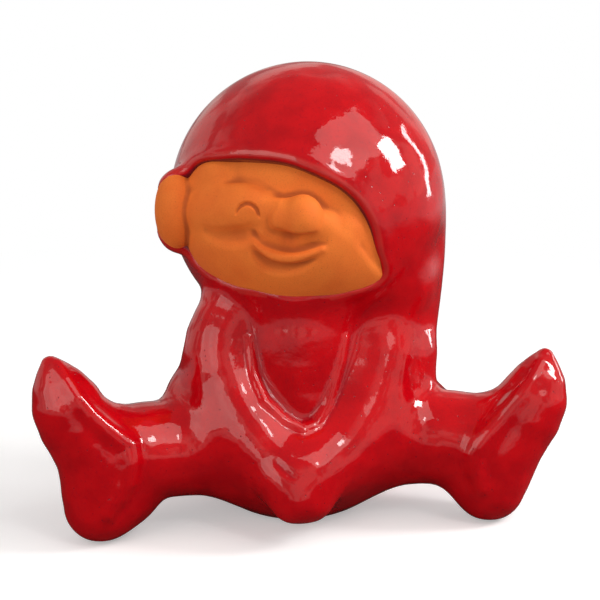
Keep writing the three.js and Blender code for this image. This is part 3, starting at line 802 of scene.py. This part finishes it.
def piece(name, points, normals, faces, wall, values, material):
    """An object from a patch of skin: the skin, its inner side and the strip round its edge."""
    points, faces, used = compact(points, faces)
    normals = normals[used]
    count = len(points)
    edges = np.stack([faces, np.roll(faces, -1, axis=1)], -1).reshape(-1, 2)
    key = edges[:, 0].astype(np.int64) * count + edges[:, 1]
    back = edges[:, 1].astype(np.int64) * count + edges[:, 0]
    rim = edges[~np.isin(key, back)]
    strip = np.column_stack([rim[:, 1], rim[:, 0], rim[:, 0] + count, rim[:, 1] + count])
    loops = np.concatenate([faces, faces[:, ::-1] + count, strip]).astype(np.int32)
    verts = np.concatenate([points, points - normals * wall]) * MM
    mesh = bpy.data.meshes.new(name)
    mesh.vertices.add(len(verts))
    mesh.vertices.foreach_set("co", verts.astype(np.float32).ravel())
    mesh.loops.add(loops.size)
    mesh.loops.foreach_set("vertex_index", loops.ravel())
    mesh.polygons.add(len(loops))
    mesh.polygons.foreach_set("loop_start", np.arange(0, loops.size, 4, dtype=np.int32))
    mesh.update(calc_edges=True)
    mesh.validate()
    mesh.polygons.foreach_set("use_smooth", np.ones(len(mesh.polygons), bool))
    both = np.concatenate([normals, -normals])
    each = both[loops.ravel()]
    each[-strip.size:] = 0
    mesh.normals_split_custom_set(each.tolist())
    for label, numbers in values.items():
        layer = mesh.attributes.new(label, "FLOAT", "POINT")
        layer.data.foreach_set("value", np.tile(numbers[used], 2).astype(np.float32))
    mesh.materials.append(material)
    return shown(name, mesh)


# Materials
class Paint:
    """A material, or the world, whose nodes are written out in lines."""

    def __init__(self, owner):
        self.owner = owner
        owner.use_nodes = True
        self.nodes = owner.node_tree.nodes
        self.links = owner.node_tree.links
        self.nodes.clear()

    def node(self, kind, inputs=None, output=0, **settings):
        """An output of a new node. Inputs are values, or other nodes' outputs to link."""
        made = self.nodes.new("ShaderNode" + kind)
        for key, value in settings.items():
            setattr(made, key, value)
        for key, value in (inputs or {}).items():
            self.feed(made.inputs[key], value)
        return made.outputs[output]

    def feed(self, socket, value):
        if isinstance(value, bpy.types.NodeSocket):
            self.links.new(value, socket)
        else:
            socket.default_value = value

    def math(self, what, a, b):
        return self.node("Math", {0: a, 1: b}, operation=what)

    def ramp(self, value, low, high, to_low=0.0, to_high=1.0):
        ends = {"From Min": low, "From Max": high, "To Min": to_low, "To Max": to_high}
        return self.node("MapRange", {"Value": value, **ends}, interpolation_type="SMOOTHSTEP")

    def mix(self, share, a, b):
        """Colour b over colour a. A Mix node's colours are its sockets 6 and 7, and its output 2."""
        made = self.nodes.new("ShaderNodeMix")
        made.data_type = "RGBA"
        self.feed(made.inputs[0], share)
        self.feed(made.inputs[6], a)
        self.feed(made.inputs[7], b)
        return made.outputs[2]

    def noise(self, spots, size, detail=2.0, roughness=0.5):
        inputs = {"Vector": spots, "Scale": 1 / size, "Detail": detail, "Roughness": roughness}
        return self.node("TexNoise", inputs)

    def pits(self, spots, apart, low, high):
        """Pinholes: 1 in each, 0 between them."""
        cells = self.node("TexVoronoi", {"Vector": spots, "Scale": 1 / apart, "Randomness": 1.0})
        return self.ramp(cells, low, high, 1.0, 0.0)

    def spots(self):
        """Places on the object in millimetres."""
        at = self.node("TexCoord", output="Object")
        return self.node("VectorMath", {0: at, "Scale": 1 / MM}, operation="SCALE")

    def value(self, name):
        return self.node("Attribute", output="Fac", attribute_name=name)

    def bump(self, height, distance, normal=None):
        inputs = {"Height": height, "Distance": distance * MM, "Strength": 1.0}
        if normal is not None:
            inputs["Normal"] = normal
        return self.node("Bump", inputs)

    def surface(self, shader):
        self.links.new(shader, self.nodes.new("ShaderNodeOutputMaterial").inputs["Surface"])
        return self.owner


# Colours of the glaze
GLAZE_LIGHT = (0.60, 0.002, 0.006, 1)
GLAZE_DEEP = (0.49, 0.001, 0.005, 1)
GLAZE_MOTTLE = (0.34, 0.0, 0.01, 1)
GLAZE_PIT = (0.12, 0.0, 0.01, 1)
# Deeper red in creases: glaze pooled there, and painted shade
GLAZE_POOL_AND_CREASE_SHADE = (0.2, 0.0, 0.01, 1)
HEM_THIN = (0.62, 0.06, 0.045, 1)
HEM_EDGE = (0.07, 0.004, 0.02, 1)
FOOT_BARE = (0.62, 0.23, 0.09, 1)

# Colours of the clay
CLAY_LIGHT = (0.95, 0.225, 0.034, 1)
CLAY_DEEP = (0.88, 0.18, 0.027, 1)
CLAY_GRAIN = (0.60, 0.12, 0.025, 1)
CLAY_PIT = (0.36, 0.07, 0.02, 1)
# Painted shade in the clay's creases
CLAY_CREASE_SHADE = (0.34, 0.06, 0.015, 1)

# Sizes of spots, how far pinholes lie apart, and heights of bumps, in millimetres
GLAZE_CLOUDS = 7.0
GLAZE_MOTTLES = 0.9
GLAZE_PITS_APART = 2.2
GLAZE_WAVES = 11.0
GLAZE_WAVE_HEIGHT = 0.5
GLAZE_RIPPLES = 2.6
GLAZE_RIPPLE_HEIGHT = 0.06
GLAZE_PIT_HEIGHT = -0.04
CLAY_CLOUDS = 9.0
CLAY_GRAINS = 0.35
CLAY_PITS_APART = 1.7
CLAY_GRAIN_HEIGHT = 0.05
CLAY_PIT_HEIGHT = -0.05

# How the surfaces reflect
GLAZE_ROUGHNESS = 0.07
FOOT_ROUGHNESS = 0.75
GLAZE_IOR = 1.52
CLAY_ROUGHNESS = 0.7
CLAY_IOR = 1.45
CLAY_SPECULAR = 0.2


def red_glaze():
    """Deep red glaze: mottled, darker in creases where it pools, with painted shade there too, thin
    over the hem and left off the foot.
    """
    paint = Paint(bpy.data.materials.new("red_glaze"))
    at = paint.spots()
    crease = paint.ramp(paint.value("crease"), 0.08, 0.55)
    cloud = paint.noise(at, GLAZE_CLOUDS, 3.0)
    mottle = paint.noise(at, GLAZE_MOTTLES, 3.0, 0.6)
    colour = paint.mix(paint.ramp(cloud, 0.35, 0.68), GLAZE_LIGHT, GLAZE_DEEP)
    colour = paint.mix(paint.ramp(mottle, 0.52, 0.78, 0.0, 0.45), colour, GLAZE_MOTTLE)
    pits = paint.pits(at, GLAZE_PITS_APART, 0.04, 0.11)
    colour = paint.mix(paint.math("MULTIPLY", pits, 0.75), colour, GLAZE_PIT)
    # Painted shade and pooled glaze: the red goes darker in creases
    colour = paint.mix(paint.math("MULTIPLY", crease, 0.45), colour, GLAZE_POOL_AND_CREASE_SHADE)
    hem = paint.value("hem")
    band = paint.math("MULTIPLY", paint.ramp(hem, 0.4, 1.0), paint.ramp(hem, 1.7, 2.6, 1.0, 0.0))
    colour = paint.mix(paint.math("MULTIPLY", band, 0.35), colour, HEM_THIN)
    colour = paint.mix(paint.ramp(hem, 0.1, 0.5, 0.85, 0.0), colour, HEM_EDGE)
    bare = paint.value("bare")
    colour = paint.mix(bare, colour, FOOT_BARE)
    normal = paint.bump(paint.noise(at, GLAZE_WAVES, 1.0, 0.4), GLAZE_WAVE_HEIGHT)
    normal = paint.bump(paint.noise(at, GLAZE_RIPPLES, 2.0, 0.45), GLAZE_RIPPLE_HEIGHT, normal)
    normal = paint.bump(pits, GLAZE_PIT_HEIGHT, normal)
    rough = paint.ramp(bare, 0.0, 1.0, GLAZE_ROUGHNESS, FOOT_ROUGHNESS)
    return paint.surface(paint.node("BsdfPrincipled", {
        "Base Color": colour, "Roughness": rough, "IOR": GLAZE_IOR, "Normal": normal,
    }))


def bare_clay(name):
    """Matt orange clay: grainy, with pinholes, and painted shade in its creases."""
    paint = Paint(bpy.data.materials.new(name))
    at = paint.spots()
    cloud = paint.noise(at, CLAY_CLOUDS, 3.0)
    grain = paint.noise(at, CLAY_GRAINS, 3.0, 0.65)
    colour = paint.mix(paint.ramp(cloud, 0.3, 0.7), CLAY_LIGHT, CLAY_DEEP)
    colour = paint.mix(paint.ramp(grain, 0.45, 0.75, 0.0, 0.35), colour, CLAY_GRAIN)
    pits = paint.pits(at, CLAY_PITS_APART, 0.03, 0.10)
    colour = paint.mix(paint.math("MULTIPLY", pits, 0.5), colour, CLAY_PIT)
    # Painted shade: the clay goes darker in its creases
    colour = paint.mix(paint.ramp(paint.value("crease"), 0.08, 0.65, 0.0, 0.7), colour, CLAY_CREASE_SHADE)
    normal = paint.bump(grain, CLAY_GRAIN_HEIGHT)
    normal = paint.bump(pits, CLAY_PIT_HEIGHT, normal)
    return paint.surface(paint.node("BsdfPrincipled", {
        "Base Color": colour, "Roughness": CLAY_ROUGHNESS, "IOR": CLAY_IOR, "Normal": normal,
        "Specular IOR Level": CLAY_SPECULAR,
    }))


glaze = red_glaze()
clay = bare_clay("bare_clay")
raw_clay = bare_clay("base_clay")

# Glazed castings
SKIN_STEP = 0.9
MARGIN = 2.0
HOOD_SKIN_DEPTH = 0.4
FAR_FROM_HEM = 99.0
BARE_FOOT_HEIGHT = 0.8
low = np.array(cad_low) / MM - MARGIN
high = np.array(cad_high) / MM + MARGIN
points, faces = skin_of(glazed, low, high, SKIN_STEP)
normals = gradient(glazed, points)
normals /= np.linalg.norm(normals, axis=1)[:, None]
on_hood = np.abs(sampled(hood, points)) < HOOD_SKIN_DEPTH
values = {
    # How hollow the skin is: the glaze's paint makes creases darker, as pooled glaze and painted
    # shade
    "crease": hollowness(glazed, points),
    "hem": np.where(on_hood, np.abs(sampled(hem_distance, points)), FAR_FROM_HEM),
    "bare": np.clip(1 - points[:, 2] / BARE_FOOT_HEIGHT, 0, 1),
}
faces = faces[sampled(face, points[faces].mean(1)) > -BURIED]
labels = castings(points[faces].mean(1).astype(np.float32))
for i, name in enumerate(CASTINGS):
    made = piece(name + "_glazed", points, normals, faces[labels == i], WALL, values, glaze)
    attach(made, "root")
    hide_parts(name)

# Bare clay head
HEAD_STEP = 0.36
FACE_GRADIENT_STEP = 0.06
FACE_LOW = (-44, -42, -28)
FACE_HIGH = (22, 6, 22)
points, faces = skin_of(face, HEAD + FACE_LOW, HEAD + FACE_HIGH, HEAD_STEP)
faces = faces[sampled(glazed, points[faces].mean(1)) > -BURIED]
points, faces, used = compact(points, faces)
normals = gradient(face, points, FACE_GRADIENT_STEP)
normals /= np.linalg.norm(normals, axis=1)[:, None]
# How hollow the clay is, which the clay's paint turns into painted shade in creases
values = {"crease": evened(hollowness(face, points), faces)}
made = piece("head_clay", points, normals, faces, CLAY_WALL, values, clay)
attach(made, "root")
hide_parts("head")

# The seat plate keeps its solid
seat = next(o for o in bpy.data.objects if o.name.startswith("seat_plate"))
for slot in seat.material_slots:
    slot.material = raw_clay

# Floor: how far from the figure it turns white to the camera, and pale to reflections, in metres
FLOOR_HALF = 4.0
FLOOR_WHITE = (0.1, 0.3)
FLOOR_PALE = (0.25, 0.45)
# Its colour to the camera, to light and to reflections, and the glow that lifts the near floor
FLOOR_SEEN = (0.8, 0.8, 0.8, 1)
FLOOR_LIT = (0.35, 0.35, 0.35, 1)
FLOOR_MIRRORED = (0.06, 0.06, 0.06, 1)
FLOOR_MIRRORED_FAR = (0.5, 0.5, 0.5, 1)
FLOOR_GLOW = (0.36, 0.36, 0.36, 1)
WHITE = (1, 1, 1, 1)


def plane(name, half, at, material):
    """A square sheet, seen from above."""
    mesh = bpy.data.meshes.new(name)
    form = bmesh.new()
    ends = ((-1, -1), (1, -1), (1, 1), (-1, 1))
    form.faces.new([form.verts.new((x * half, y * half, 0)) for x, y in ends])
    form.to_mesh(mesh)
    mesh.materials.append(material)
    made = shown(name, mesh)
    made.location = at
    return made


def floor_paint():
    """A matt floor near the figure, where its shadow falls, and white beyond."""
    paint = Paint(bpy.data.materials.new("floor"))
    camera = paint.node("LightPath", output="Is Camera Ray")
    mirrored = paint.node("LightPath", output="Is Glossy Ray")
    at = paint.node("NewGeometry", output="Position")
    away = paint.node("VectorMath", {0: at}, output="Value", operation="LENGTH")
    unseen = paint.mix(mirrored, FLOOR_LIT, FLOOR_MIRRORED)
    matt = paint.node("BsdfDiffuse", {"Color": paint.mix(camera, unseen, FLOOR_SEEN)})
    lit = paint.node("Emission", {"Color": FLOOR_GLOW, "Strength": camera})
    near = paint.node("AddShader", {0: matt, 1: lit})
    distant = paint.mix(camera, FLOOR_MIRRORED_FAR, WHITE)
    far = paint.node("Emission", {"Color": distant, "Strength": 1.0})
    seen = paint.math("MULTIPLY", camera, paint.ramp(away, *FLOOR_WHITE))
    pale = paint.math("MULTIPLY", mirrored, paint.ramp(away, *FLOOR_PALE))
    share = paint.math("MAXIMUM", seen, pale)
    return paint.surface(paint.node("MixShader", {0: share, 1: near, 2: far}))


floor = plane("floor", FLOOR_HALF, (0, 0, cad_low.z), floor_paint())

# Lamps: name, place, width, height, strength and colour
LAMP_AIM = Vector((0, 0, 0.05))
WARM = (1, 0.95, 0.9)
NEUTRAL = (1, 1, 1)
LAMPS = (
    ("key", (0.75, -0.6, 1.2), 1.4, 1.0, 1.9, WARM),
    ("lamp", (0.37, -0.64, 0.72), 0.1, 0.16, 14.0, NEUTRAL),
    ("window", (0.8, -0.15, 0.53), 0.2, 0.3, 22.0, NEUTRAL),
    ("strip", (0.75, 0.3, 0.25), 0.07, 0.5, 10.0, NEUTRAL),
    ("fill", (-0.75, -0.6, 0.45), 0.9, 0.7, 1.7, WARM),
)
for name, at, width, height, strength, colour in LAMPS:
    light = bpy.data.lights.new(name, "AREA")
    light.shape = "RECTANGLE"
    light.size, light.size_y = width, height
    light.energy = strength * width * height * math.pi
    light.color = colour
    made = shown(name, light)
    made.location = at
    made.rotation_euler = (LAMP_AIM - Vector(at)).to_track_quat("-Z", "Y").to_euler()

# World: white to the camera, a room of soft patches to reflections, and an even grey to other light
ROOM_DARK = (0.3, 0.28, 0.27, 1)
ROOM_PALE = (0.8, 0.73, 0.68, 1)
ROOM_TOP = (0.2, 0.2, 0.2, 1)
ROOM_TOP_RISE = (0.5, 0.8)
ROOM_PATCHES = 0.3
SURROUND = (0.4, 0.4, 0.4, 1)
world = bpy.data.worlds.new("studio")
bpy.context.scene.world = world
paint = Paint(world)
direction = paint.node("TexCoord", output="Generated")
rise = paint.node("SeparateXYZ", {0: direction}, output="Z")
patches = paint.ramp(paint.noise(direction, ROOM_PATCHES, 1.0), 0.42, 0.55)
room = paint.mix(paint.ramp(rise, *ROOM_TOP_RISE), paint.mix(patches, ROOM_DARK, ROOM_PALE), ROOM_TOP)
lit = paint.mix(paint.node("LightPath", output="Is Glossy Ray"), SURROUND, room)
seen = paint.mix(paint.node("LightPath", output="Is Camera Ray"), lit, WHITE)
background = paint.node("Background", {"Color": seen, "Strength": 1.0})
paint.links.new(background, paint.nodes.new("ShaderNodeOutputWorld").inputs["Surface"])

# Camera at the photograph's angle, in millimetres
CAMERA_TURN = math.radians(-8)
CAMERA_RISE = math.radians(15)
CAMERA_DISTANCE = 450
CAMERA_AIM = Vector((3, -4, 54))
CAMERA_LENS = 100
CAMERA_SENSOR = 36
level = math.cos(CAMERA_RISE)
back = Vector((math.sin(CAMERA_TURN) * level, -math.cos(CAMERA_TURN) * level, math.sin(CAMERA_RISE)))
lens = bpy.data.cameras.new("camera")
lens.lens = CAMERA_LENS
lens.sensor_width = CAMERA_SENSOR
camera = shown("camera", lens)
camera.location = (CAMERA_AIM + back * CAMERA_DISTANCE) * MM
camera.rotation_euler = back.to_track_quat("Z", "Y").to_euler()
bpy.context.scene.camera = camera
bpy.context.scene.view_settings.view_transform = "Standard"
